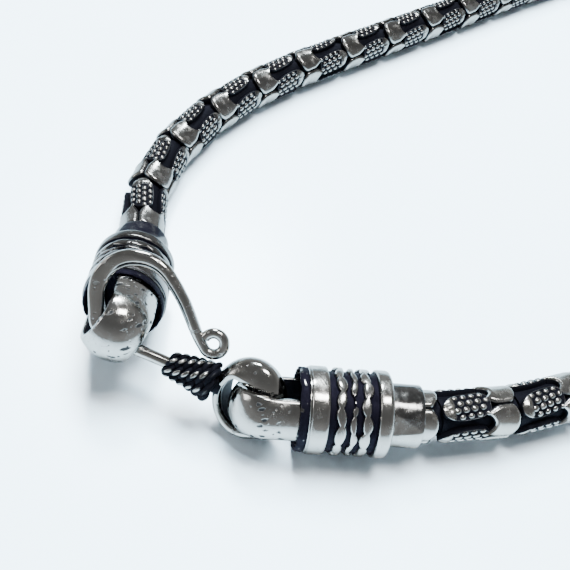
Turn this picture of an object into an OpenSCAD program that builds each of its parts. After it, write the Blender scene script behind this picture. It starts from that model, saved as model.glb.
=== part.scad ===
// Heavy patterned neck chain, closed by a hook that passes through a stirrup loop.
// It lies flat on a table: X along the oval, Y across it, Z up from the table.

/* [Chain] */
// Outside diameter of the chain, mm
chain_d = 5.8; // [5.6:0.05:5.85]
// Number of links in the whole chain
link_n = 49; // [47:1:50]
// Wall of the links' shells, mm
link_wall = 0.75; // [0.6:0.05:0.9]
// Width of the groove between two pads, mm
groove_w = 1.05; // [0.8:0.05:1.3]
// Diameter of the eye of each keyhole, mm
keyhole_d = 1.2; // [1:0.1:1.4]
// Turn of the pads about the chain's own line, degrees
pad_turn = 12; // [0:1:45]

/* [End caps] */
// Diameter of the barrel, mm
cap_d = 9.24; // [9.2:0.02:9.4]
// Length of the barrel, mm
cap_l = 8; // [7.8:0.1:8.2]
// Diameter of the ferrule that holds the chain, mm
ferrule_d = 6.85; // [6.8:0.05:6.95]
// Length of the ferrule, mm
ferrule_l = 4.2; // [4:0.1:4.4]
// Diameter of the bore that the chain's end sits in, mm
bore_d = 6.34; // [6.32:0.02:6.36]
// Depth of the recess that the stirrup sits in, mm
recess_deep = 1; // [0.8:0.1:1.2]
// Reach of the rough collar round the stirrup's root, mm
collar_l = 0.9; // [0.7:0.1:1]
// Thickness of the three raised rows, mm
row_d = 0.96; // [0.8:0.02:1]

/* [Stirrup loops] */
// Width of the right loop's domed band, mm
loop_w_r = 4.4; // [4.2:0.1:4.4]
// Width of the left loop's domed band, mm
loop_w_l = 5; // [4.8:0.1:5]
// Half width of the opening, mm
loop_ri = 2.6; // [2.6:0.05:2.65]
// Thickness of the band at its crown, mm
loop_t = 1.4; // [1.3:0.05:1.4]
// Thickness of the band at its edges, mm
loop_te = 0.6; // [0.5:0.05:0.6]
// Reach of the right loop beyond its cap, mm
loop_out_r = 8; // [7.9:0.1:8.1]
// Reach of the left loop beyond its cap, mm
loop_out_l = 8.1; // [8.1:0.1:8.3]

/* [Hook] */
// Inside radius of the eye ring before it is pressed oval, mm
eye_ri = 3.2; // [3.15:0.05:3.25]
// Width of the eye ring's band, mm
eye_w = 3.44; // [3.2:0.04:3.44]
// Thickness of the eye ring's band at its crown, mm
eye_t = 1.5; // [1.3:0.05:1.5]
// Thickness of the eye ring's band at its edges, mm
eye_te = 0.6; // [0.5:0.05:0.8]
// Width of the oval eye against its height
eye_oval = 0.86; // [0.85:0.01:0.88]
// Radius of the shank, mm
shank_r = 0.65; // [0.6:0.05:0.65]
// Radius of the wire at the top of the bend, mm
bend_r = 0.8; // [0.7:0.05:0.85]
// Radius of the curled tip's wire, mm
curl_r = 0.45; // [0.4:0.05:0.5]

/* [Neck wrap] */
// Number of turns of the winding
wrap_n = 5; // [4:1:5]
// Radius of the wound wire, mm
wrap_wire_r = 0.58; // [0.56:0.01:0.62]

/* [Hidden] */
$fn = 48;

// The clasp is laid out in a frame of its own, then turned and moved into the oval.
turn = -36;
shift = [-117, -63, 0];
centre = [0.973, 0.287, 0];

// Middle of each cap's rim on the clasp side, its heading and rise toward the clasp, and the
// roll of the stirrup in it.
rim_r = [4.5, 49.9, cap_d / 2];
head_r = 189;
rise_r = 0;
roll_r = 33;
head_l = -84;
rise_l = 15;
roll_l = 59;
rim_l = [-16.86, 57.64, cap_d / 2 * cos(rise_l) + cap_l * sin(rise_l)];

// The eye's middle and how its ring stands.
eye_c = [-1.33, 49.93, 4.54];
eye_pose = [112.3, -2.2, 158.4];
// Where the shank's line starts, and how the bend stands.
hook_c = [-0.95, 49.8, 4.6];
hook_pose = [128.8, -8.35, 171.15];

// Colours read off the picture.
silver = [0.72, 0.71, 0.69];
dull = [0.55, 0.54, 0.52];
dark = [0.22, 0.22, 0.25];

// A point of the clasp's frame in the frame of the oval.
function laid(p) = [p.x * cos(turn) - p.y * sin(turn), p.x * sin(turn) + p.y * cos(turn), p.z] + shift;
// A unit direction from a heading and a rise.
function aim(h, e) = [cos(h) * cos(e), sin(h) * cos(e), sin(e)];

// The chain's route: from inside the right cap round the oval to inside the left cap.
floor_z = cap_l + ferrule_l - 9;
start_r = floor_z + 1.45;
start_l = floor_z + 0.4;
dir_a = aim(head_r + 180 + turn, -rise_r);
dir_b = aim(head_l + 180 + turn, -rise_l);
end_a = laid(rim_r) + start_r * dir_a;
end_b = laid(rim_l) + start_l * dir_b;
rest = chain_d / 2;
// Control points of the free stretch, from the right cap round to the left cap.
free = [[-64.5, -33.9, 4.1], [-54.6, -34.9, 3.2], [-44, -36.2, 2.95], [-30, -38.6, rest],
    [-12, -42.3, rest], [12, -44.5, rest], [36, -45.6, rest], [58, -45.5, rest],
    [81, -39.3, rest], [97.8, -22.5, rest], [104, 0.5, rest], [97.8, 23.5, rest],
    [81, 40.3, rest], [58, 46.5, rest], [36, 46, rest], [12, 43, rest], [-8, 39.6, rest],
    [-20, 37.2, rest], [-32.6, 34.8, rest], [-45.6, 32.4, rest], [-57.8, 30.1, rest],
    [-68.2, 26.7, rest], [-78.3, 21.4, rest], [-87, 13.3, 2.95]];
lead = 5;
pts = concat([for (k = [-1 : 2]) end_a + k * lead * dir_a], free,
    [for (k = [2 : -1 : -1]) end_b + k * lead * dir_b]);
steps = 24;
function spline(i, u) = (pow(1 - u, 3) * pts[i] + (3 * pow(u, 3) - 6 * u * u + 4) * pts[i + 1]
    + (-3 * pow(u, 3) + 3 * u * u + 3 * u + 1) * pts[i + 2] + pow(u, 3) * pts[i + 3]) / 6;
walk = concat([for (i = [0 : len(pts) - 4], k = [0 : steps - 1]) spline(i, k / steps)],
    [spline(len(pts) - 4, 1)]);
// Running length at each sample of the route.
run = [for (i = 0, s = 0; i < len(walk);
    s = s + (i + 1 < len(walk) ? norm(walk[i + 1] - walk[i]) : 0), i = i + 1) s];
total = run[len(run) - 1];
pitch = total / link_n;
table_x = [for (i = [0 : len(walk) - 1]) [run[i], walk[i].x]];
table_y = [for (i = [0 : len(walk) - 1]) [run[i], walk[i].y]];
table_z = [for (i = [0 : len(walk) - 1]) [run[i], walk[i].z]];
function at(s) = [lookup(s, table_x), lookup(s, table_y), lookup(s, table_z)];

// Moves a piece of the clasp into the oval.
module settled() {
    translate(shift - centre) rotate([0, 0, turn]) children();
}

// A flat outline with a blunt start: from z0 to z1, half width h, corners cut back by c.
module tongue(h, z0, z1, c) {
    polygon([[-h, z1], [-h, z0 + c], [-h + c, z0], [h - c, z0], [h, z0 + c], [h, z1]]);
}

// One pair of opposite walls of a link, cut from the tube by a radial prism.
module walls(h, z0, z1, c) {
    rotate([90, 0, 0]) linear_extrude(chain_d + 1, center = true) tongue(h, z0, z1, c);
}

// One link: pads with round starts, saddle collars, and the parts inside that hold the next link.
module link(first) {
    ro = chain_d / 2;
    ri = ro - link_wall;
    skin = ri + 0.05;
    pad_start = 0.4;
    pad_end = 0.6 * pitch;
    pad_half = ro * sin(45) - groove_w / 2;
    collar_start = 0.54 * pitch;
    collar_end = pitch - 0.75;
    collar_half = 0.67 * ro;
    flange_z = collar_end - 0.5;
    stud_r = 0.5;
    stud_head_r = 1.25;
    rotate([0, 0, pad_turn]) {
        intersection() {
            difference() {
                translate([0, 0, 0.3]) cylinder(h = collar_end - 0.3, r = ro);
                translate([0, 0, -1]) cylinder(h = pitch + 2, r = ri);
            }
            difference() {
                union() {
                    for (a = [0, 90]) rotate([0, 0, a]) walls(pad_half, pad_start, pad_end, 0.9);
                    for (a = [45, 135]) rotate([0, 0, a]) translate([0, 0, collar_end + collar_start])
                        mirror([0, 0, 1]) walls(collar_half, collar_start, collar_end, 0.8);
                }
                for (a = [0, 90]) rotate([90, 0, a]) translate([0, pad_end + 0.1, 0])
                    cylinder(h = chain_d + 1, r = keyhole_d / 2, center = true, $fn = 6);
            }
        }
        // Web across the start and flange across the far end.
        translate([0, 0, pad_start + 0.5]) cylinder(h = 0.6, r = skin);
        difference() {
            translate([0, 0, flange_z]) cylinder(h = 0.5, r = skin);
            translate([0, 0, flange_z - 1]) cylinder(h = 3, r = stud_r + 0.55, $fn = 24);
        }
    }
    // Stud with a round head that the link before holds.
    if (!first) {
        translate([0, 0, -2]) cylinder(h = 3, r = stud_r, $fn = 24);
        translate([0, 0, -2.2]) cylinder(h = 0.43, r = stud_head_r, $fn = 24);
    }
}

module snake_chain() {
    color(dull) translate(-centre) for (i = [0 : link_n - 1]) {
        a = at(i * pitch);
        d = at((i + 1) * pitch) - a;
        translate(a) rotate([0, 90 - asin(d.z / norm(d)), atan2(d.y, d.x)]) link(i == 0);
    }
}

// Barrel and ferrule turned in one piece: z runs from the clasp side toward the chain.
module cap_body() {
    ro = cap_d / 2;
    ground = ro - 0.47;
    recess = ro - 0.48;
    end = cap_l + ferrule_l;
    row_at = [0.39, 0.55, 0.715] * cap_l;
    difference() {
        rotate_extrude($fn = 64) polygon([[0, 0], [ro - 0.32, 0], [ro - 0.12, 0.3], [ro, 0.45], [ro, 2],
            [ro - 0.15, 2.2], [ground, 2.4], [ground, cap_l - 1.6], [ro - 0.15, cap_l - 1.4],
            [ro, cap_l - 1.2], [ro, cap_l - 0.35], [ro - 0.25, cap_l], [ferrule_d / 2, cap_l],
            [ferrule_d / 2, end - 0.15], [ferrule_d / 2 - 0.15, end], [0, end]]);
        translate([0, 0, -1]) cylinder(h = recess_deep + 1, r = recess, $fn = 64);
        translate([0, 0, floor_z]) cylinder(h = end, r = bore_d / 2, $fn = 64);
    }
    // Rough collar that stands round the stirrup's root.
    rotate_extrude($fn = 64) translate([recess + 0.03, -collar_l]) square([0.24, collar_l + 0.3]);
    // Raised rows round the barrel.
    for (z = row_at) translate([0, 0, z])
        rotate_extrude($fn = 64) translate([ro - 0.04 - row_d / 2, 0]) circle(row_d / 2, $fn = 24);
}

module end_cap_right() {
    color(silver) settled() translate(rim_r) rotate([0, 90 + rise_r, head_r + 180]) cap_body();
}

module end_cap_left() {
    color(silver) settled() translate(rim_l) rotate([0, 90 + rise_l, head_l + 180]) cap_body();
}

// Section of a domed band: flat on the inside at ri, bulging outward.
module band(w, ri, t, te) {
    dome = (w * w / 4 + (t - te) * (t - te)) / (2 * (t - te));
    intersection() {
        translate([ri, -w / 2]) square([t, w]);
        translate([ri + t - dome, 0]) circle(dome, $fn = 96);
    }
}

// Stirrup: half a ring and two straight legs, reaching out along X from the cap's rim.
module stirrup(out, w) {
    mid = out - loop_ri - loop_t;
    seat = recess_deep - 0.08;
    translate([mid, 0, 0]) {
        rotate([0, 0, -90]) rotate_extrude(angle = 180, $fn = 64) band(w, loop_ri, loop_t, loop_te);
        for (s = [0, 1]) mirror([0, s, 0]) rotate([0, -90, 0]) rotate([0, 0, 90])
            linear_extrude(mid + seat) band(w, loop_ri, loop_t, loop_te);
    }
}

module end_loop_right() {
    color(silver) settled() translate(rim_r) rotate([roll_r, -rise_r, head_r])
        stirrup(loop_out_r, loop_w_r);
}

module end_loop_left() {
    color(silver) settled() translate(rim_l) rotate([roll_l, -rise_l, head_l])
        stirrup(loop_out_l, loop_w_l);
}

// Unit vector in the hook's plane at heading h.
function way(h) = [cos(h), sin(h)];

// Arc of round wire: from angle a through sweep t, about c, in the hook's plane.
module wire_arc(c, r, a, t, w) {
    translate([c.x, c.y, 0]) rotate([0, 0, a])
        rotate_extrude(angle = t, $fn = 64) translate([r, 0]) circle(w, $fn = 24);
}

// Straight wire from p along heading h, changing radius from w1 to w2.
module wire_line(p, h, l, w1, w2) {
    translate([p.x, p.y, 0]) rotate([0, 90, h]) cylinder(h = l, r1 = w1, r2 = w2, $fn = 24);
}

// The neck is a cone from the eye's wall down to the shank.
neck_a = 3.55;
neck_b = 9.55;
neck_r = 1.05;
function neck_at(x) = neck_r + (x - neck_a) / (neck_b - neck_a) * (shank_r + 0.03 - neck_r);

module hook() {
    foot = 16.1;
    foot_r = 2.25;
    up = 67;
    up_l = 2.65;
    top_r = 3.84;
    arm = 219.2;
    arm_l = 8.4;
    curl = 1.12;
    curl_turn = 300;
    lap = 0.2;
    notch = 0.05;
    thin = curl_r + 0.22;
    p1 = [foot, foot_r] + foot_r * way(up - 90);
    p2 = p1 + up_l * way(up);
    top = p2 + top_r * way(up + 90);
    p3 = top + top_r * way(arm - 90);
    p4 = p3 + (arm_l - 1.2) * way(arm);
    p5 = p3 + arm_l * way(arm);
    tip = p5 + curl * way(arm - 90);
    color(silver) settled() {
        translate(eye_c) rotate(eye_pose) scale([eye_oval, 1, 1])
            rotate_extrude($fn = 64) band(eye_w, eye_ri, eye_t, eye_te);
        translate(hook_c) rotate(hook_pose) {
            wire_line([neck_a, 0], 0, neck_b - neck_a, neck_r, neck_at(neck_b));
            wire_line([neck_b - lap, 0], 0, foot - neck_b + 2 * lap, shank_r, shank_r);
            wire_arc([foot, foot_r], foot_r, -90, up, shank_r + notch);
            wire_line(p1 - lap * way(up), up, up_l + 2 * lap, shank_r, bend_r - notch);
            wire_arc(top, top_r, up - 90, arm - up, bend_r);
            wire_line(p3 - lap * way(arm), arm, arm_l - 1.2 + 2 * lap, bend_r - notch, thin);
            wire_line(p4 - lap * way(arm), arm, 1.2 + 2 * lap, thin - notch, curl_r - notch);
            wire_arc(tip, curl, arm + 90 - curl_turn, curl_turn, curl_r);
        }
    }
}

// Winding: rings side by side that grow toward the eye, bored for the neck.
module neck_wrap() {
    first_x = 5.25;
    last_x = 9.25;
    wide = 1.72;
    narrow = 0.75;
    bore = 0.07;
    color(dark) settled() translate(hook_c) rotate(hook_pose) rotate([0, 90, 0]) difference() {
        for (k = [0 : wrap_n - 1]) {
            s = k / (wrap_n - 1);
            translate([0, 0, first_x + s * (last_x - first_x)]) rotate_extrude($fn = 48)
                translate([wide + s * (narrow - wide), 0]) circle(wrap_wire_r, $fn = 24);
        }
        translate([0, 0, 4]) cylinder(h = 6.5, r1 = neck_at(4) + bore, r2 = neck_at(10.5) + bore, $fn = 48);
    }
}

snake_chain();
end_cap_right();
end_cap_left();
end_loop_right();
end_loop_left();
hook();
neck_wrap();
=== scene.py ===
import math

import bpy
from mathutils import Matrix, Vector, noise


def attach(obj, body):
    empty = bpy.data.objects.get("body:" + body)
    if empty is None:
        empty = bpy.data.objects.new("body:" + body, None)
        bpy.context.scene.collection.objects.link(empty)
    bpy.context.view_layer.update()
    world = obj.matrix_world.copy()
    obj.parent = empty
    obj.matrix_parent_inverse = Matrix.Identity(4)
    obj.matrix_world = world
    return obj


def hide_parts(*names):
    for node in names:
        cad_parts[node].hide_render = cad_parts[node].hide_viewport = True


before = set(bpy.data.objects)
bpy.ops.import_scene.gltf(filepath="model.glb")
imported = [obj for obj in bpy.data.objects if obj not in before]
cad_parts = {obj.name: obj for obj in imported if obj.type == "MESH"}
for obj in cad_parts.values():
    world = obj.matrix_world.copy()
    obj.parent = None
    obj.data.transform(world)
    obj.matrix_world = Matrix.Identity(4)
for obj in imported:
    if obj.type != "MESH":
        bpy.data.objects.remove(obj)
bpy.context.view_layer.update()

MM = 0.001

# The clasp is laid out in millimetres in a frame of its own, and SETTLE moves it to its place.
CLASP_SHIFT = (-117.973, -63.287, 0)
CLASP_TURN = math.radians(-36)
SETTLE = Matrix.Translation(CLASP_SHIFT) @ Matrix.Rotation(CLASP_TURN, 4, "Z")

CHAIN_R = 2.9
LINK_N = 49
CAP_R, CAP_L = 4.62, 8.0
# Heading and rise of each cap's axis toward the clasp, in degrees, and the middle of its rim there.
HEAD_R, HEAD_L, RISE_L = 189, -84, 15
RIM_L_HIGH = CAP_R * math.cos(math.radians(RISE_L)) + CAP_L * math.sin(math.radians(RISE_L))
RIM_R = Vector((4.5, 49.9, CAP_R))
RIM_L = Vector((-16.86, 57.64, RIM_L_HIGH))
# How far behind each rim the chain's middle line starts and ends, inside the ferrules.
START_R, START_L = 4.65, 3.6
# Points that the free chain follows from the right cap round to the left one, and what is taken
# off them so that the whole necklace's middle is at zero.
CENTRE = Vector((0.973, 0.287, 0))
FREE = [(-64.5, -33.9, 4.1), (-54.6, -34.9, 3.2), (-44, -36.2, 2.95), (-30, -38.6, CHAIN_R),
        (-12, -42.3, CHAIN_R), (12, -44.5, CHAIN_R), (36, -45.6, CHAIN_R), (58, -45.5, CHAIN_R),
        (81, -39.3, CHAIN_R), (97.8, -22.5, CHAIN_R), (104, 0.5, CHAIN_R), (97.8, 23.5, CHAIN_R),
        (81, 40.3, CHAIN_R), (58, 46.5, CHAIN_R), (36, 46, CHAIN_R), (12, 43, CHAIN_R),
        (-8, 39.6, CHAIN_R), (-20, 37.2, CHAIN_R), (-32.6, 34.8, CHAIN_R), (-45.6, 32.4, CHAIN_R),
        (-57.8, 30.1, CHAIN_R), (-68.2, 26.7, CHAIN_R), (-78.3, 21.4, CHAIN_R), (-87, 13.3, 2.95)]


def aimed(head, rise=0):
    head, rise = math.radians(head), math.radians(rise)
    return Vector((math.cos(head) * math.cos(rise), math.sin(head) * math.cos(rise), math.sin(rise)))


def chain_route():
    """The middle line of the chain from cap to cap, as close points on a smooth curve."""
    turned = SETTLE.to_3x3()
    along_r = turned @ aimed(HEAD_R + 180)
    along_l = turned @ aimed(HEAD_L + 180, -RISE_L)
    end_r = SETTLE @ RIM_R + START_R * along_r
    end_l = SETTLE @ RIM_L + START_L * along_l
    # Spacing of the points that lead the curve straight into each cap, and steps between points.
    lead = 5
    steps = 24
    points = [end_r + k * lead * along_r for k in (-1, 0, 1, 2)]
    points += [Vector(p) - CENTRE for p in FREE]
    points += [end_l + k * lead * along_l for k in (2, 1, 0, -1)]
    walk = []
    for i in range(len(points) - 3):
        a, b, c, d = points[i:i + 4]
        for k in range(steps):
            u = k / steps
            walk.append(((1 - u) ** 3 * a + (3 * u ** 3 - 6 * u * u + 4) * b
                         + (-3 * u ** 3 + 3 * u * u + 3 * u + 1) * c + u ** 3 * d) / 6)
    walk.append(points[-2])
    return walk


ROUTE = chain_route()
PITCH = sum((b - a).length for a, b in zip(ROUTE, ROUTE[1:])) / LINK_N
# A pad's size along and round the link, where its middle lies along it, the radius of its sunk
# floor and of its dome, and how far it leans sideways for each millimetre along.
PAD_HALF_L = 2.88
PAD_HALF_W = 1.74
PAD_MIDDLE = 3.02
PAD_FLOOR = 2.60
PAD_DOME = 2.84
PAD_LEAN = 0.10
# Radius at which the feet of pads and collars are sunk in the link's core.
FOOT_R = 2.0


def ease(x, low, high):
    t = min(max((x - low) / (high - low), 0), 1)
    return t * t * (3 - 2 * t)


def on_chain(arc, along, radius, turn):
    """A point on the link's round: arc in millimetres round the chain from the turn given."""
    angle = math.radians(turn) + arc / CHAIN_R
    return Vector((radius * math.cos(angle), radius * math.sin(angle), along))


class Casting:
    """Points in millimetres, each with a polish from 0 to 1, and the faces between them."""

    def __init__(self):
        self.points, self.polish, self.faces = [], [], []

    def point(self, where, polish):
        self.points.append(Vector(where))
        self.polish.append(polish)
        return len(self.points) - 1

    def rows(self, rows, round_rows=True, flip=False, start=None, end=None):
        """Faces between rows of (point, polish), with a pole at either end where one is given."""
        ids = [[self.point(p, s) for p, s in row] for row in rows]
        span = len(ids[0]) if round_rows else len(ids[0]) - 1
        made = []
        for a, b in zip(ids, ids[1:]):
            for k in range(span):
                n = (k + 1) % len(a)
                made.append((a[k], a[n], b[n], b[k]))
        for pole, row, first in ((start, ids[0], True), (end, ids[-1], False)):
            if pole is not None:
                tip = self.point(*pole)
                for k in range(span):
                    n = (k + 1) % len(row)
                    made.append((row[n], row[k], tip) if first else (row[k], row[n], tip))
        self.faces += [tuple(reversed(f)) for f in made] if flip else made

    def moved(self, matrix):
        self.points = [matrix @ p for p in self.points]
        return self

    def made(self, name, material=None, sharp=50):
        mesh = bpy.data.meshes.new(name)
        mesh.from_pydata([p * MM for p in self.points], [], self.faces)
        layer = mesh.attributes.new("polish", "FLOAT", "POINT")
        layer.data.foreach_set("value", self.polish)
        mesh.shade_smooth()
        mesh.set_sharp_from_angle(angle=math.radians(sharp))
        thing = bpy.data.objects.new(name, mesh)
        bpy.context.scene.collection.objects.link(thing)
        if material:
            mesh.materials.append(material)
        return thing


class Wire:
    """A node's socket that can be written into sums. Each sum adds its Math nodes."""

    def __init__(self, bench, socket):
        self.bench, self.socket = bench, socket

    def maths(self, operation, *values):
        sockets = dict(enumerate(values))
        return self.bench.node("ShaderNodeMath", {"operation": operation}, sockets)

    def __add__(self, other):
        return self.maths("ADD", self, other)

    def __radd__(self, other):
        return self.maths("ADD", other, self)

    def __sub__(self, other):
        return self.maths("SUBTRACT", self, other)

    def __rsub__(self, other):
        return self.maths("SUBTRACT", other, self)

    def __mul__(self, other):
        return self.maths("MULTIPLY", self, other)

    def __rmul__(self, other):
        return self.maths("MULTIPLY", other, self)

    def __truediv__(self, other):
        return self.maths("DIVIDE", self, other)

    def __rtruediv__(self, other):
        return self.maths("DIVIDE", other, self)

    def step(self, low, high):
        """0 below low and 1 above high, with a soft change between."""
        return self.bench.node("ShaderNodeMapRange", {"interpolation_type": "SMOOTHSTEP"},
                               {"Value": self, "From Min": low, "From Max": high})


class Bench:
    """One node tree while it is built."""

    def __init__(self, tree):
        self.tree = tree

    def node(self, kind, settings=None, sockets=None, out=0):
        new = self.tree.nodes.new(kind)
        for name, value in (settings or {}).items():
            setattr(new, name, value)
        for name, value in (sockets or {}).items():
            if isinstance(value, Wire):
                self.tree.links.new(value.socket, new.inputs[name])
            else:
                new.inputs[name].default_value = value
        return Wire(self, new.outputs[out]) if len(new.outputs) else new

    def mixed(self, mask, low, high):
        """One colour where the mask is 0 and another where it is 1."""
        return self.node("ShaderNodeMix", {"data_type": "RGBA"}, {0: mask, 6: low, 7: high}, 2)

    def scaled(self, vector, sizes):
        return self.node("ShaderNodeVectorMath", {"operation": "MULTIPLY"}, {0: vector, 1: sizes})


BRIGHT = (0.33, 0.325, 0.312, 1)
WARM = (0.27, 0.258, 0.228, 1)
# DULL is worn dull silver, and also the colour of the painted shade on the chain's far side.
DULL = (0.12, 0.118, 0.115, 1)
BLACK = (0.006, 0.006, 0.009, 1)
GROUND_ROUGH = 0.62


def worn_silver(name, shine, edge, patchy, scratch, warm, dark=BLACK, pits=0.0, far_shading=0.0):
    """Silver that is bright where the polish is 1, dull where it is 0.6 and blackened where it is 0.

    shine is the roughness of the clean metal and of its cloudy patches. edge is the polish where
    the black ends and the polish where the clean metal starts. The last argument is painted shade:
    it dulls the metal that lies toward +Y.
    """
    material = bpy.data.materials.new(name)
    material.use_nodes = True
    material.node_tree.nodes.clear()
    b = Bench(material.node_tree)
    place = b.node("ShaderNodeTexCoord", out="Object")
    polish = b.node("ShaderNodeAttribute", {"attribute_name": "polish"}, out="Fac")

    def clouds(where, scale, detail):
        sockets = {"Vector": where, "Scale": scale, "Detail": detail}
        return b.node("ShaderNodeTexNoise", None, sockets, "Fac")

    def cells(where, scale):
        sockets = {"Vector": where, "Scale": scale}
        return b.node("ShaderNodeTexVoronoi", {"feature": "F1"}, sockets, "Distance")

    cloud = clouds(place, 900.0, 4.0)
    fine = clouds(place, 5200.0, 3.0)
    drift = clouds(place, 260.0, 2.0)
    hair = clouds(b.scaled(place, (9000.0, 700.0, 4000.0)), 1.0, 2.0)
    bright = (polish + (cloud - 0.5) * patchy + (fine - 0.5) * patchy * 0.5).step(*edge)
    height = hair * 0.35 + cloud * 0.65
    if pits:
        # Small round pits and long dents, both only in patches, black at their bottoms.
        round_one = cells(place, 1500.0)
        rare = clouds(place, 420.0, 1.0)
        pit = 1 - (round_one + (fine - 0.5) * 0.3).step(0.10, 0.24)
        pit = pit * rare.step(0.56 - 0.08 * pits, 0.68 - 0.08 * pits)
        bright = bright * (1 - pit * 0.93)
        long_one = cells(b.scaled(place, (430.0, 1250.0, 1250.0)), 1.0)
        dent = (1 - (long_one + (fine - 0.5) * 0.2).step(0.20, 0.30)) * rare.step(0.42, 0.50) * pits
        bright = bright * (1 - dent * 0.9)
        height = height - (pit + dent) * 5.0
    silver = b.mixed(((drift - 0.5) * 2.2 + 0.5) * warm, BRIGHT, WARM)
    # Painted shade: metal that lies toward +Y, on the necklace's far side, is dulled; elsewhere it is dull
    # only where worn.
    far_shade_mask = b.node("ShaderNodeSeparateXYZ", None, {0: place}, "Y").step(-0.012, 0.010) * far_shading
    rubbed_and_shaded = b.mixed((polish - far_shade_mask + (cloud - 0.5) * 0.3).step(0.5, 0.92), DULL, silver)
    colour = b.mixed(bright, dark, rubbed_and_shaded)
    clean_rough, cloudy_rough = shine
    rough = GROUND_ROUGH - bright * (GROUND_ROUGH - clean_rough)
    rough = rough + (cloud.step(0.42, 0.72) + hair.step(0.5, 0.8) * 0.5) * (cloudy_rough - clean_rough)
    relief = {"Strength": 0.35 * scratch, "Distance": 0.00006, "Height": height}
    bump = b.node("ShaderNodeBump", None, relief)
    shader = b.node("ShaderNodeBsdfPrincipled", None,
                    {"Base Color": colour, "Metallic": bright * 0.15 + 0.85, "Roughness": rough,
                     "Specular IOR Level": 0.2, "Specular Tint": (0.62, 0.62, 0.62, 1), "Normal": bump})
    b.node("ShaderNodeOutputMaterial", None, {"Surface": shader})
    return material


def pad(link, turn):
    """Raised pad: a light rim round a sunk floor, with a lumpy smooth dome at its start."""
    sides = 36
    dome_blunt, tail_blunt = 2.2, 3.0
    dome_ends, dome_full = 1.25, 1.75
    # Rings from the foot in to the middle of the floor: inset from the outline, radius, polish, and
    # whether the dome lifts them.
    rings = ((0, FOOT_R, 0, False), (0.0, 2.46, 0, False), (0.05, 2.66, 0.15, False),
             (0.14, 2.75, 0.45, False), (0.24, 2.70, 0.25, True), (0.36, PAD_FLOOR, 0.05, True),
             (0.70, PAD_FLOOR, 0.02, True), (1.05, PAD_FLOOR + 0.01, 0.02, True),
             (1.45, PAD_FLOOR + 0.02, 0.02, True))
    rows = []
    for inset, radius, polish, lifted in rings:
        row = []
        for k in range(sides):
            t = 2 * math.pi * k / sides
            blunt = 2 / (dome_blunt if math.sin(t) < 0 else tail_blunt)
            x = (PAD_HALF_W - inset) * math.copysign(abs(math.cos(t)) ** blunt, math.cos(t))
            z = (PAD_HALF_L - inset) * math.copysign(abs(math.sin(t)) ** blunt, math.sin(t))
            dome = ease(-z, dome_ends, dome_full)
            nose = ease(-z, 1.9, 2.85)
            lumps = 0.12 * noise.noise(Vector((x * 2.3, z * 2.3, turn * 0.1)))
            swell = PAD_DOME + lumps - 0.12 * (x / PAD_HALF_W) ** 2 - 0.22 * nose
            r = radius + dome * (swell - radius) if lifted else radius
            if inset > 0 and not lifted:
                r -= 0.10 * nose + 0.02 * math.sin(7 * t + turn)
            row.append((on_chain(x - PAD_LEAN * z, PAD_MIDDLE + z, r, turn),
                        max(polish, dome * (1 if inset > 0.05 else polish))))
        rows.append(row)
    link.rows(rows, end=(on_chain(0, PAD_MIDDLE, PAD_FLOOR + 0.02, turn), 0.02))


def scales(link, turn):
    """Staggered rows of small domed scales on the pad's floor."""
    sides = 10
    first_z, step_z = -1.22, 1.02
    half_w, half_l = 0.42, 0.49
    sunk = 0.02
    # Rings of one scale from its foot up: size against the foot's, height above it and polish.
    domed = ((1.0, 0, 0.0), (0.90, 0.10, 0.45), (0.66, 0.19, 1), (0.34, 0.235, 1))
    for row, arc in enumerate((-1.20, -0.40, 0.40, 1.20)):
        odd = row % 2
        for column in range(4):
            z = first_z + step_z * column + step_z / 2 * odd
            big = 1 - 0.16 * (abs(arc) > 1) - 0.14 * ease(z, 1.6, 2.4)
            rings = []
            for spread, lift, polish in domed:
                ring = []
                for k in range(sides):
                    t = 2 * math.pi * k / sides
                    along = z + half_l * big * spread * math.sin(t)
                    ring.append((on_chain(arc + half_w * big * spread * math.cos(t) - PAD_LEAN * along,
                                          PAD_MIDDLE + along, PAD_FLOOR - sunk + lift, turn), polish))
                rings.append(ring)
            tip = on_chain(arc - PAD_LEAN * z, PAD_MIDDLE + z, PAD_FLOOR + 0.225, turn)
            link.rows(rings, end=(tip, 1))


def collar(link, turn):
    """Smooth saddle between two pads: a thin lip at its start, hollow in its middle, rounded edges."""
    steps_across, steps_along = 18, 14
    half_wide, long = 2.26, 3.3
    top, round_over, hollow, lip = 2.86, 0.34, 0.07, 0.08
    # Where it starts, how far it runs past the link's end, how far both edges bow back at the
    # sides, and its width at the start, as a share that then grows by the rest.
    start_z, start_bow = 6.15, 1.15
    past_end, end_bow = 0.12, 0.85
    narrow, growth = 0.66, 0.34
    rows = []
    for j in range(-1, steps_along + 2):
        v = min(max(j / steps_along, 0), 1)
        v = v * v * (3 - 2 * v) * 0.5 + v * 0.5
        wide = half_wide * (narrow + growth * ease(v, 0.0, 0.55))
        row = []
        for i in range(-1, steps_across + 2):
            u = min(max(2 * i / steps_across - 1, -1), 1)
            start = start_z - start_bow * u * u
            finish = PITCH + past_end - end_bow * abs(u) ** 2.4
            skirted = i < 0 or i > steps_across or j < 0 or j > steps_along
            edge = min((1 - abs(u)) * half_wide, v * long, (1 - v) * long)
            r = top - round_over * (1 - min(edge / 0.42, 1)) ** 2.2
            r -= hollow * math.sin(math.pi * v) * (1 - u * u)
            r += lip * math.exp(-((v - 0.07) / 0.05) ** 2)
            polish = 0.2 + 0.8 * ease(edge, 0.0, 0.14)
            if skirted:
                r, polish = FOOT_R, 0
            arc = u * wide - PAD_LEAN * 2 * (v - 0.5)
            row.append((on_chain(arc, start + (finish - start) * v, r, turn), polish))
        rows.append(row)
    link.rows(rows, round_rows=False)


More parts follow.
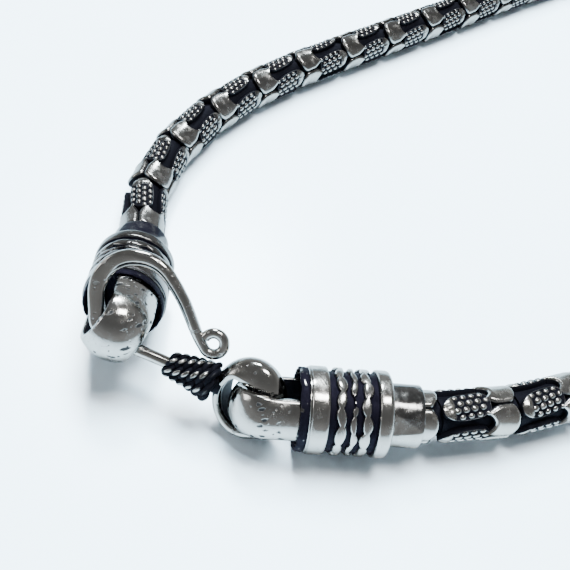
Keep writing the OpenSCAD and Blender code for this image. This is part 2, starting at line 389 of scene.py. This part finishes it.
def link_form():
    link = Casting()
    for quarter in range(4):
        turn = 90 * quarter
        pad(link, turn)
        scales(link, turn)
        collar(link, turn + 45)
    # The black core under the pads, and the thinner neck that goes into the link before.
    sides = 20
    core = ((0.35, 1.8), (0.35, 2.08), (4.4, 2.14), (8.0, 2.08), (8.6, 1.8))
    neck = ((-1.6, 1.5), (-1.6, 1.8), (1.2, 1.8), (1.2, 1.5))
    for rings in (core, neck):
        rows = []
        for z, r in rings:
            rows.append([(on_chain(2 * math.pi * CHAIN_R * k / sides, z, r, 0), 0) for k in range(sides)])
        link.rows(rows, start=(Vector((0, 0, rings[0][0])), 0), end=(Vector((0, 0, rings[-1][0])), 0))
    return link.made("link_form")


def laid_links(first, count, form, material, name):
    """Links laid end to end along the route by a node tree, made one plain mesh."""
    curve = bpy.data.curves.new(name, "CURVE")
    curve.dimensions = "3D"
    spline = curve.splines.new("POLY")
    spline.points.add(len(ROUTE) - 1)
    for point, where in zip(spline.points, ROUTE):
        point.co = (*(where * MM), 1)
    thing = bpy.data.objects.new(name, curve)
    bpy.context.scene.collection.objects.link(thing)

    tree = bpy.data.node_groups.new("links along a route", "GeometryNodeTree")
    tree.interface.new_socket("Route", in_out="INPUT", socket_type="NodeSocketGeometry")
    inlets = (("Link", "NodeSocketObject"), ("First link", "NodeSocketInt"),
              ("Links here", "NodeSocketInt"), ("Links in all", "NodeSocketInt"),
              ("Turn", "NodeSocketFloat"), ("Loose turn", "NodeSocketFloat"),
              ("Metal", "NodeSocketMaterial"))
    ids = {}
    for label, kind in inlets:
        ids[label] = tree.interface.new_socket(label, in_out="INPUT", socket_type=kind).identifier
    tree.interface.new_socket("Links", in_out="OUTPUT", socket_type="NodeSocketGeometry")
    b = Bench(tree)
    given = tree.nodes.new("NodeGroupInput")

    def inlet(label):
        return Wire(b, given.outputs[label])

    def spot(number):
        sample = {"Curves": inlet("Route"), "Factor": number / inlet("Links in all")}
        return b.node("GeometryNodeSampleCurve", {"mode": "FACTOR"}, sample, "Position")

    number = b.node("GeometryNodeInputIndex") + inlet("First link")
    here, ahead = spot(number), spot(number + 1)
    line = b.node("ShaderNodeVectorMath", {"operation": "SUBTRACT"}, {0: ahead, 1: here})
    level = b.node("ShaderNodeVectorMath", {"operation": "CROSS_PRODUCT"}, {0: (0.0, 0.0, 1.0), 1: line})
    aim = b.node("FunctionNodeAxesToRotation", {"primary_axis": "Z", "secondary_axis": "Y"},
                 {"Primary Axis": line, "Secondary Axis": level})
    # Each link is turned a little more or less than the last, in a wave along the chain.
    swing = number * 1.9 - 2.75
    turn = inlet("Turn") + inlet("Loose turn") * swing.maths("SINE", swing)
    about = b.node("ShaderNodeCombineXYZ", None, {"Z": turn})
    spin = b.node("FunctionNodeEulerToRotation", None, {"Euler": about})
    aim = b.node("FunctionNodeRotateRotation", {"rotation_space": "LOCAL"},
                 {"Rotation": aim, "Rotate By": spin})
    spots = b.node("GeometryNodePoints", None, {"Count": inlet("Links here"), "Position": here})
    shape = b.node("GeometryNodeObjectInfo", None, {"Object": inlet("Link")}, "Geometry")
    laid = b.node("GeometryNodeInstanceOnPoints", None, {"Points": spots, "Instance": shape, "Rotation": aim})
    real = b.node("GeometryNodeRealizeInstances", None, {0: laid})
    metal = b.node("GeometryNodeSetMaterial", None, {0: real, "Material": inlet("Metal")})
    b.node("NodeGroupOutput", None, {0: metal})

    modifier = thing.modifiers.new("links", "NODES")
    modifier.node_group = tree
    values = {"Link": form, "First link": first, "Links here": count, "Links in all": LINK_N,
              "Turn": math.radians(18), "Loose turn": math.radians(8), "Metal": material}
    for label, value in values.items():
        modifier[ids[label]] = value
    bpy.context.view_layer.update()
    graph = bpy.context.evaluated_depsgraph_get()
    mesh = bpy.data.meshes.new_from_object(thing.evaluated_get(graph))
    bpy.data.objects.remove(thing)
    mesh.name = name
    laid_mesh = bpy.data.objects.new(name, mesh)
    bpy.context.scene.collection.objects.link(laid_mesh)
    return laid_mesh


# The chain's stretch toward +Y is dulled with painted shade.
chain_metal = worn_silver("chain silver", shine=(0.17, 0.36), edge=(0.30, 0.62), patchy=0.35,
                          scratch=0.7, warm=0.7, far_shading=0.28)
LINK_FORM = link_form()
# Three stretches, so that no piece has too many triangles.
STRETCH_STARTS = (0, 17, 33, LINK_N)
for stretch in range(3):
    first = STRETCH_STARTS[stretch]
    count = STRETCH_STARTS[stretch + 1] - first
    piece = laid_links(first, count, LINK_FORM, chain_metal, f"chain_stretch_{stretch + 1}")
    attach(piece, "root")
    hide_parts("snake_chain")
bpy.data.objects.remove(LINK_FORM)


# End caps
# Each is a turned barrel with a polished band at either end, a recess with a rough black
# collar that the stirrup sits in, three beaded wavy rows on black, and a plain ferrule.
FERRULE_R, FERRULE_L = 3.36, 4.2
GROUND_R = 4.16
INK = (0.007, 0.0062, 0.0115, 1)
cap_metal = worn_silver("cap silver", shine=(0.12, 0.30), dark=INK, edge=(0.30, 0.55), patchy=0.30,
                        scratch=0.8, warm=0.45)
# The beaded rows: place on the ground from 0 to 1, half width, how much the beads widen it, number
# of beads, sway and height.
BEADED_ROWS = ((0.225, 0.42, 0.16, 15, 0.07, 0.44), (0.50, 0.27, 0.10, 15, 0.10, 0.38),
               (0.775, 0.42, 0.16, 15, 0.10, 0.42))
BROKEN_ROW = 1
# What stands for the polish in an outline where it is worked out point by point.
ROUGH, BEADED = "rough collar", "beaded ground"


def posed(place, roll, rise, head):
    """Place a piece made along X: rolled about X, raised, then turned to its heading."""
    turn = Matrix.Rotation(math.radians(head), 4, "Z") @ Matrix.Rotation(math.radians(-rise), 4, "Y")
    return Matrix.Translation(Vector(place)) @ turn @ Matrix.Rotation(math.radians(roll), 4, "X")


def raised_rows(angle, z, seed, wide):
    """How far the wavy beaded rows stand above the barrel's ground, z along a ground this wide."""
    high = 0
    c, s = math.cos(angle), math.sin(angle)
    wander = noise.noise(Vector((c * 2.2, s * 2.2, seed)))
    for index, (middle, half, swell, count, sway, lift) in enumerate(BEADED_ROWS):
        phase = seed + index * 1.7
        uneven = phase + 0.5 * noise.noise(Vector((c * 1.3, s * 1.3, seed + index)))
        bend = sway * math.cos(count / 2 * angle + 2 * phase) + 0.14 * wander
        lobe = abs(math.sin(count / 2 * angle + 1.5 * uneven)) ** 0.6
        width = half + swell * (2 * lobe - 1) + 0.10 * wander
        if index == BROKEN_ROW:
            width -= 0.34 * ease(math.cos(3 * angle + phase), 0.86, 0.99)
        off = (z - middle * wide - bend) / max(width, 0.05)
        if abs(off) < 1:
            high = max(high, lift * (1 - off ** 4) ** 0.5)
    return high


def barrel_cap(name, node, place, heading, rise, seed, longer, clean):
    """A cap with its rim at place. longer is added to the barrel, and clean dims all its polish."""
    cap = Casting()
    turns = 288
    end = CAP_L + FERRULE_L
    bore_r, bore_floor = 3.17, 3.2
    ground_starts = 2.25
    # Rings as (radius, height, polish): the recess and its rough collar, then the first band.
    outline = [(3.0, 1.0, ROUGH), (3.5, 1.0, ROUGH), (4.04, 1.0, ROUGH), (4.10, 0.7, ROUGH),
               (4.10, 0.2, ROUGH), (4.10, -0.3, ROUGH), (4.12, -0.74, ROUGH), (4.20, -0.88, ROUGH),
               (4.30, -0.88, ROUGH), (4.40, -0.72, ROUGH), (4.41, -0.45, ROUGH), (4.42, -0.2, ROUGH),
               (4.38, -0.02, 0), (4.34, 0.04, 0), (4.40, 0.02, 0.9), (4.46, 0.03, 1), (4.52, 0.09, 1),
               (4.52, 0.24, 0.6), (4.56, 0.31, 0.8), (4.61, 0.36, 1), (CAP_R, 0.5, 1)]
    outline += [(CAP_R, 0.5 + 0.25 * k, 1) for k in range(1, 6)]
    outline += [(4.60, 1.95, 1), (4.54, 2.05, 0.9), (4.3, 2.13, 0.3), (GROUND_R, 2.2, 0)]
    # The beaded ground.
    wide = 4.1 + longer
    fine_rings = 80
    relief = [(GROUND_R, ground_starts + wide * k / (fine_rings - 1), BEADED) for k in range(fine_rings)]
    # The second band, the ferrule, its mouth, and the bore down to its floor.
    after = [(GROUND_R, 6.42, 0), (4.3, 6.48, 0.3), (4.54, 6.56, 0.9), (4.60, 6.64, 1), (CAP_R, 6.75, 1),
             (CAP_R, 7.1, 1), (CAP_R, 7.5, 1), (4.60, 7.72, 1), (4.52, 7.88, 1), (4.40, 7.97, 0.9),
             (4.2, 8.0, 0.6), (3.6, 8.0, 0.2), (FERRULE_R + 0.02, 8.02, 0.2), (FERRULE_R, 8.15, 0.6)]
    after = [(radius, z + longer, polish) for radius, z, polish in after]
    after += [(FERRULE_R, 9.1 + 0.32 * k, 0.9) for k in range(9)]
    after += [(FERRULE_R, end - 0.1, 0.95), (FERRULE_R - 0.06, end - 0.02, 0.9),
              (FERRULE_R - 0.14, end, 0.8), (3.20, end - 0.01, 0.5), (bore_r, end - 0.12, 0.1),
              (bore_r, 10.5, 0), (bore_r, 5.0, 0), (bore_r, bore_floor + 0.1, 0),
              (2.8, bore_floor, 0), (1.0, bore_floor, 0)]
    # Where the ferrule lies, and its two slight flats: the side, the distance and the taper.
    ferrule_from, ferrule_middle = 9, 10.5
    flats = ((-2.2, 3.24, 0.045), (0.6, 3.25, 0.03))
    rows = []
    for radius, z, polish in outline + relief + after:
        row = []
        for k in range(turns):
            angle = 2 * math.pi * k / turns
            r, shine, along = radius, polish, z
            if polish == ROUGH:
                rough = noise.noise(Vector((5 * math.cos(angle), 5 * math.sin(angle), 2.5 * z + seed)))
                rough += 0.6 * noise.noise(Vector((13 * math.cos(angle), 13 * math.sin(angle), 6 * z + seed)))
                r += 0.07 * rough
                along += 0.16 * noise.noise(Vector((4 * math.cos(angle), 4 * math.sin(angle), seed)))
                shine = 0.62 * ease(rough, 0.15, 0.55)
            elif polish == BEADED:
                high = raised_rows(angle, z - ground_starts, seed, wide)
                r, shine = radius + high, ease(high, 0.10, 0.27)
            elif shine and z > 0.3:
                # Polished metal: slightly uneven, worn duller in places, flats on the ferrule, and painted
                # shade on the ferrule's top.
                r += 0.02 * noise.noise(Vector((3 * math.cos(angle), 3 * math.sin(angle), z * 0.4 + seed)))
                dull = noise.noise(Vector((2 * math.cos(angle), 2 * math.sin(angle), z + seed)))
                shine -= 0.25 * max(0, dull)
                if z > ferrule_from:
                    off = z - ferrule_middle
                    for side, near, slope in flats:
                        if math.cos(angle - side) > 0.5:
                            r = min(r, (near + slope * off) / math.cos(angle - side))
                    # Painted shade: the ferrule's top is dulled, up to a slanted edge.
                    shine -= 0.3 * ease(math.cos(angle + 3.2 - 0.17 * off), 0.62, 0.70)
            row.append(((r * math.cos(angle), r * math.sin(angle), along), shine * clean))
        rows.append(row)
    cap.rows(rows, flip=True, start=((0, 0, 1.0), 0), end=((0, 0, bore_floor), 0))
    upright = Matrix.Rotation(math.radians(90), 4, "Y")
    cap.moved(SETTLE @ posed(place, 0, -rise, heading + 180) @ upright)
    piece = cap.made(name, cap_metal, 40)
    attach(piece, "root")
    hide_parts(node)


# The right barrel is 0.7 mm longer, and the left cap is darker.
barrel_cap("barrel_cap_right", "end_cap_right", RIM_R, HEAD_R, 0, 0.4, 0.7, 1)
barrel_cap("barrel_cap_left", "end_cap_left", RIM_L, HEAD_L, RISE_L, 2.3, 0, 0.58)


# Stirrup loops
# A wide domed band bent to a stirrup and seated in each cap's recess: flat inside, with a
# pale flat edge, polished but pitted and scratched by wear. The right one is fuller at the eye.
LOOP_RI, LOOP_T, LOOP_TE = 2.6, 1.4, 0.6
# The seed keeps the slight unevenness of the loops and the hook the same on every run.
noise.seed_set(7)
loop_metal = worn_silver("loop silver", shine=(0.10, 0.28), edge=(0.20, 0.5), patchy=0.3, pits=1.0,
                         scratch=0.9, warm=0.45)


def band_section(wide, thick, edge, points=10):
    """Section of a domed band as (outward, across, polish), starting on its flat inside."""
    dome = (wide * wide / 4 + (thick - edge) ** 2) / (2 * (thick - edge))
    half = math.asin(wide / 2 / dome) * 0.985
    # The flat inside gets little polish, so it comes out nearly black: painted shade inside the band.
    section = [(0.0, wide * f, 0.15) for f in (-0.46, -0.25, 0, 0.25, 0.46)]
    section += [(0.06, wide * 0.49, 0.6), (0.12, wide * 0.5, 1), (edge - 0.08, wide * 0.5, 1)]
    for k in range(2 * points + 1):
        turned = half * (1 - k / points)
        section.append((thick - dome + dome * math.cos(turned), dome * math.sin(turned), 1))
    section += [(edge - 0.08, -wide * 0.5, 1), (0.12, -wide * 0.5, 1), (0.06, -wide * 0.49, 0.6)]
    return section


def swept(casting, path, sections, closed=False):
    """Sweep sections along a path of (point, outward, across), closed to a ring or capped."""
    rows = []
    for (where, outward, across), section in zip(path, sections):
        rows.append([(where + outward * o + across * side, s) for o, side, s in section])
    if closed:
        rows.append(rows[0])
        casting.rows(rows)
        return
    first, last = [sum((p for p, s in row), Vector()) / len(row) for row in (rows[0], rows[-1])]
    casting.rows(rows, start=(first, 0), end=(last, 0))


def stirrup_loop(name, node, place, heading, rise, roll, out, wide, swell):
    """A stirrup that reaches out from the cap's rim at place. swell widens one side of its bend."""
    loop = Casting()
    middle = out - LOOP_RI - LOOP_T
    across = Vector((0, 0, 1))
    seated = 0.92
    leg_steps, bend_steps = 10, 56
    # One leg, the bend and the other leg, with the angle each point would have on a full round.
    path, angles = [], []
    for k in range(leg_steps):
        x = -seated + (middle + seated) * k / leg_steps
        path.append((Vector((x, LOOP_RI, 0)), Vector((0, 1, 0)), across))
        angles.append(math.pi / 2 + (middle - x) / LOOP_RI)
    for k in range(bend_steps + 1):
        angle = math.pi / 2 - math.pi * k / bend_steps
        outward = Vector((math.cos(angle), math.sin(angle), 0))
        path.append((Vector((middle, 0, 0)) + outward * LOOP_RI, outward, across))
        angles.append(angle)
    for k in range(leg_steps):
        x = middle - (middle + seated) * (k + 1) / leg_steps
        path.append((Vector((x, -LOOP_RI, 0)), Vector((0, -1, 0)), across))
        angles.append(-math.pi / 2 - (middle - x) / LOOP_RI)
    swell_at = math.radians(50)
    sections = []
    for angle in angles:
        section = []
        for o, side, s in band_section(wide, LOOP_T, LOOP_TE):
            full = swell * ease(math.cos(angle - swell_at), 0.5, 0.95) * ease(side, 0.3, wide / 2)
            section.append((o + 0.5 * full * (o > 0.3), side + full, s))
        sections.append(section)
    swept(loop, path, sections)
    loop.moved(SETTLE @ posed(place, roll, rise, heading))
    for i, p in enumerate(loop.points):
        loop.points[i] = p + Vector(noise.noise_vector(p * 0.6)) * 0.03
        if loop.polish[i] >= 1:
            loop.polish[i] = 0.88 - 0.12 * noise.noise(p * 0.5)
    piece = loop.made(name, loop_metal, 40)
    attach(piece, "root")
    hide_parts(node)


stirrup_loop("stirrup_right", "end_loop_right", RIM_R, HEAD_R, 0, 33, 8.0, 4.4, 0.3)
stirrup_loop("stirrup_left", "end_loop_left", RIM_L, HEAD_L, RISE_L, 59, 8.1, 5.0, 0)


# Hook
# One piece of silver: a domed oval eye ring, a neck, a round shank that passes through the
# left stirrup, a bend hammered flat on its face, and an arm that thins to a small curled tip.
EYE_RI, EYE_W, EYE_T, EYE_TE, EYE_OVAL = 3.2, 3.44, 1.5, 0.6, 0.86
EYE_PLACE = posed((-1.33, 49.93, 4.54), 112.3, 2.2, 158.4)
HOOK_PLACE = posed((-0.95, 49.8, 4.6), 128.8, 8.35, 171.15)
NECK_A, NECK_B = 3.55, 9.55
SHANK_ENDS = 16.1
WIRE_R, NECK_EXTRA, BEND_EXTRA = 0.65, 0.40, 0.26
hook_metal = worn_silver("hook silver", shine=(0.10, 0.26), edge=(0.15, 0.45), patchy=0.3, pits=0.3,
                         scratch=0.7, warm=0.6)


def hook_line(step=0.42):
    """The wire's middle line from the eye to the curled tip, as (x, y, heading, run) in its plane."""
    # Straights as (length, 0) and bends as (radius, degrees turned).
    parts = (("straight", NECK_B - NECK_A, 0), ("straight", SHANK_ENDS - NECK_B, 0), ("bend", 2.25, 67),
             ("straight", 2.65, 0), ("bend", 3.84, 219.2 - 67), ("straight", 8.4, 0), ("bend", 1.12, -300))
    x, y, heading, run = NECK_A, 0, 0, 0
    line = []
    for kind, size, sweep in parts:
        length = size if kind == "straight" else size * abs(math.radians(sweep))
        count = max(2, round(length / step)) if kind == "straight" else max(6, round(abs(sweep) / 6))
        for k in range(count):
            line.append((x, y, heading, run))
            half = heading + sweep / count / 2
            stride = length / count
            if kind == "bend":
                stride = 2 * size * math.sin(abs(math.radians(sweep)) / count / 2)
            x += stride * math.cos(math.radians(half))
            y += stride * math.sin(math.radians(half))
            heading += sweep / count
            run += length / count
    line.append((x, y, heading, run))
    return line


def wire_section(radial, side, square, groove, points=48):
    """Section of the wire, radial in the bend's plane and side out of it, with a fine groove."""
    groove_at, groove_wide = 4.15, 0.17
    section = []
    for k in range(points):
        t = 2 * math.pi * k / points
        c, s = math.cos(t), math.sin(t)
        cut = groove * math.exp(-((t - groove_at) / groove_wide) ** 2)
        section.append((radial * math.copysign(abs(c) ** (2 / square), c) * (1 - cut),
                        side * math.copysign(abs(s) ** (2 / square), s) * (1 - cut), 1 - 7 * cut))
    return section


def hook_wire():
    """The neck, shank, bend, arm and curl."""
    wire = Casting()
    rows = []
    line = hook_line()
    # Each change of the wire comes in or goes out between two lengths run from the neck's start.
    clean_in, neck_out = (1.0, 2.0), (0.0, 6.0)
    flat_in, flat_out = (11.5, 16.0), (23.0, 30.0)
    square_in, square_out = (11.5, 15.0), (21.0, 26.0)
    groove_in, groove_out = (21.0, 22.5), (31.0, 35.0)
    bow_in, bow_out = (24.0, 30.0), (30.5, 36.0)
    broad_in, thin_in, curl_in = (22.0, 28.0), (27.0, 34.0), (33.5, 36.2)
    for x, y, heading, run in line:
        neck = 1 - ease(run, *neck_out)
        flat = ease(run, *flat_in) * (1 - 0.75 * ease(run, *flat_out))
        curl = ease(run, *curl_in)
        radial = WIRE_R + NECK_EXTRA * neck + BEND_EXTRA * flat
        radial = radial - 0.06 * ease(run, *thin_in) - 0.09 * curl
        sideways = WIRE_R + NECK_EXTRA * neck + 0.02 * flat
        sideways = sideways + 0.06 * ease(run, *broad_in) * (1 - curl) - 0.13 * curl
        square = 2 + 1.5 * ease(run, *square_in) * (1 - ease(run, *square_out))
        groove = 0.15 * ease(run, *groove_in) * (1 - ease(run, *groove_out))
        bow = 0.5 * ease(run, *bow_in) * (1 - ease(run, *bow_out))
        clean = ease(run, *clean_in)
        outward = Vector((math.sin(math.radians(heading)), -math.cos(math.radians(heading)), 0))
        row = []
        for o, side, s in wire_section(radial, sideways, square, groove):
            row.append((Vector((x, y, 0)) + outward * (o + bow) + Vector((0, 0, 1)) * side, s * clean))
        rows.append(row)
    x, y, heading, run = line[-1]
    rounding = 0.2
    tip = Vector((x + rounding * math.cos(math.radians(heading)),
                  y + rounding * math.sin(math.radians(heading)), 0))
    wire.rows(rows, start=((NECK_A, 0, 0), 0), end=(tip, 1))
    return wire.moved(HOOK_PLACE)


def eye_ring():
    """The eye's band. Its camera-side edge leans in over the right stirrup."""
    eye = Casting()
    steps = 96
    lean_most, lean_at = 0.95, math.radians(105)
    path, sections = [], []
    for k in range(steps):
        angle = -2 * math.pi * k / steps
        outward = Vector((math.cos(angle), math.sin(angle), 0))
        path.append((outward * EYE_RI, outward, Vector((0, 0, 1))))
        lean = lean_most * ease(math.cos(angle - lean_at), 0.4, 0.95)
        section = []
        for o, side, s in band_section(EYE_W, EYE_T, EYE_TE):
            near = max(0, -side) * 2 / EYE_W
            if o < 0.3:
                section.append((o - lean * near, side, 0.75 if side < -1.5 else s))
            else:
                section.append((o - lean * near ** 2.5, side, s))
        sections.append(section)
    swept(eye, path, sections, closed=True)
    return eye.moved(EYE_PLACE @ Matrix.Diagonal((EYE_OVAL, 1, 1, 1)))


def hook_piece():
    hook, eye = hook_wire(), eye_ring()
    first = len(hook.points)
    hook.points += eye.points
    hook.polish += eye.polish
    hook.faces += [tuple(i + first for i in face) for face in eye.faces]
    hook.moved(SETTLE)
    for i, p in enumerate(hook.points):
        hook.points[i] = p + Vector(noise.noise_vector(p * 0.7)) * 0.02
    return hook.made("hook_and_eye", hook_metal, 40)


piece = hook_piece()
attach(piece, "root")
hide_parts("hook")


# Neck wrap
# Two thin wires twisted together and wound five and a half times round the hook's neck. The
# winding grows toward the eye, and it is black but for the crests of the strands.
wrap_metal = worn_silver("wrap wire", shine=(0.16, 0.34), edge=(0.55, 0.95), patchy=0.3, scratch=0.6,
                         warm=0.5)


def wound_wire():
    wrap = Casting()
    turns, first_x, last_x = 5.5, 4.6, 9.45
    # Radius of one wire, its distance from the pair's middle, and how often the pair twists a turn.
    strand, apart, twists = 0.37, 0.26, 3.4
    # Radius of the winding at the eye, and what it loses by its other end.
    wide, loss = 1.74, 0.92
    steps, sides = 300, 10
    along = Vector((1, 0, 0))
    for half in range(2):
        rows = []
        for k in range(steps + 1):
            s = k / steps
            angle = -2 * math.pi * turns * s
            x = first_x + (last_x - first_x) * s
            lay = wide - loss * s
            twist = 2 * math.pi * (turns * twists * s + 0.5 * half)
            outward = Vector((0, math.cos(angle), math.sin(angle)))
            middle = Vector((x, 0, 0)) + outward * (lay + apart * math.cos(twist))
            middle = middle + along * apart * math.sin(twist)
            row = []
            for j in range(sides):
                t = 2 * math.pi * j / sides
                offset = outward * math.cos(t) * strand + along * math.sin(t) * strand
                reach = (middle + offset - Vector((x, 0, 0))).dot(outward)
                crest = ease(reach, lay + 0.36, lay + 0.62)
                row.append((middle + offset, crest * (0.6 + 0.4 * ease(s, 0.0, 0.2))))
            rows.append(row)
        wrap.rows(rows, start=(rows[0][0][0], 0), end=(rows[-1][0][0], 0))
    wrap.moved(SETTLE @ HOOK_PLACE)
    return wrap.made("wound_wire", wrap_metal, 60)


piece = wound_wire()
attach(piece, "root")
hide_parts("neck_wrap")


# Table, light and camera
# A plain pale glossy table under four soft lights, with a grey backdrop that is lighter low
# down. The camera is close over the clasp, at the picture's height and tilt.
TABLE_HALF = 3.0
floor_mesh = bpy.data.meshes.new("table")
corners = [(x * TABLE_HALF, y * TABLE_HALF, 0) for x, y in ((-1, -1), (1, -1), (1, 1), (-1, 1))]
floor_mesh.from_pydata(corners, [], [(0, 1, 2, 3)])
floor = bpy.data.objects.new("table", floor_mesh)
bpy.context.scene.collection.objects.link(floor)
table_finish = bpy.data.materials.new("pale table")
table_finish.use_nodes = True
surface = table_finish.node_tree.nodes["Principled BSDF"]
surface.inputs["Base Color"].default_value = (0.76, 0.87, 0.96, 1)
surface.inputs["Roughness"].default_value = 0.22
floor_mesh.materials.append(table_finish)

across_view = SETTLE.to_3x3()
clasp = SETTLE @ Vector((-5, 52, 4)) * MM


def soft_light(name, place, size, power, tint=(1, 1, 1)):
    """A soft rectangle of light aimed at the clasp.

    Its place is in metres from the clasp: to the right, away and up, as the camera looks.
    """
    data = bpy.data.lights.new(name, "AREA")
    data.shape = "RECTANGLE"
    data.size, data.size_y = size
    data.energy = power
    data.color = tint
    lamp = bpy.data.objects.new(name, data)
    lamp.location = clasp + across_view @ Vector(place)
    lamp.rotation_euler = (clasp - lamp.location).to_track_quat("-Z", "Y").to_euler()
    bpy.context.scene.collection.objects.link(lamp)
    return lamp


soft_light("window light", (-0.10, 0.45, 0.55), (0.21, 0.13), 9.0, (0.86, 0.95, 1))
soft_light("top light", (0.15, 0.05, 0.6), (0.14, 0.20), 4.0)
soft_light("left card", (-0.5, -0.05, 0.25), (0.2, 0.2), 0.8)
# The sheet lights the table and the metal, but isn't mirrored in them.
overhead = soft_light("overhead sheet", (0.02, 0.17, 0.46), (0.28, 0.24), 17.0, (0.72, 0.91, 1))
overhead.visible_glossy = False

LOW_GREY, HIGH_GREY = (0.65, 0.67, 0.69, 1), (0.24, 0.245, 0.25, 1)
world = bpy.data.worlds.new("studio")
bpy.context.scene.world = world
world.use_nodes = True
sky = Bench(world.node_tree)
facing = sky.node("ShaderNodeTexCoord", out="Generated")
high = sky.node("ShaderNodeSeparateXYZ", None, {0: facing}, "Z")
grey = sky.mixed(high.step(0.0, 0.75), LOW_GREY, HIGH_GREY)
backdrop = world.node_tree.nodes["Background"]
world.node_tree.links.new(grey.socket, backdrop.inputs["Color"])

PHOTO_SIZE = 570
FOCAL_PX = 850
CAMERA_DOWN = math.radians(48.4)
CAMERA_ROLL = math.radians(-11.4)
CAMERA_HIGH = 79.42
lens = bpy.data.cameras.new("camera")
lens.sensor_width = 36
lens.lens = FOCAL_PX / PHOTO_SIZE * lens.sensor_width
lens.clip_start = 0.002
lens.clip_end = 20
camera = bpy.data.objects.new("camera", lens)
bpy.context.scene.collection.objects.link(camera)
right = Vector((1, 0, 0))
down = Vector((0, -math.sin(CAMERA_DOWN), -math.cos(CAMERA_DOWN)))
back = Vector((0, -math.cos(CAMERA_DOWN), math.sin(CAMERA_DOWN)))
eye_right = right * math.cos(CAMERA_ROLL) + down * math.sin(CAMERA_ROLL)
eye_up = right * math.sin(CAMERA_ROLL) - down * math.cos(CAMERA_ROLL)
axes = Matrix((eye_right, eye_up, back)).transposed()
camera_place = (SETTLE @ Vector((0, 0, CAMERA_HIGH))) * MM
camera.matrix_world = Matrix.Translation(camera_place) @ (across_view @ axes).to_4x4()
bpy.context.scene.camera = camera
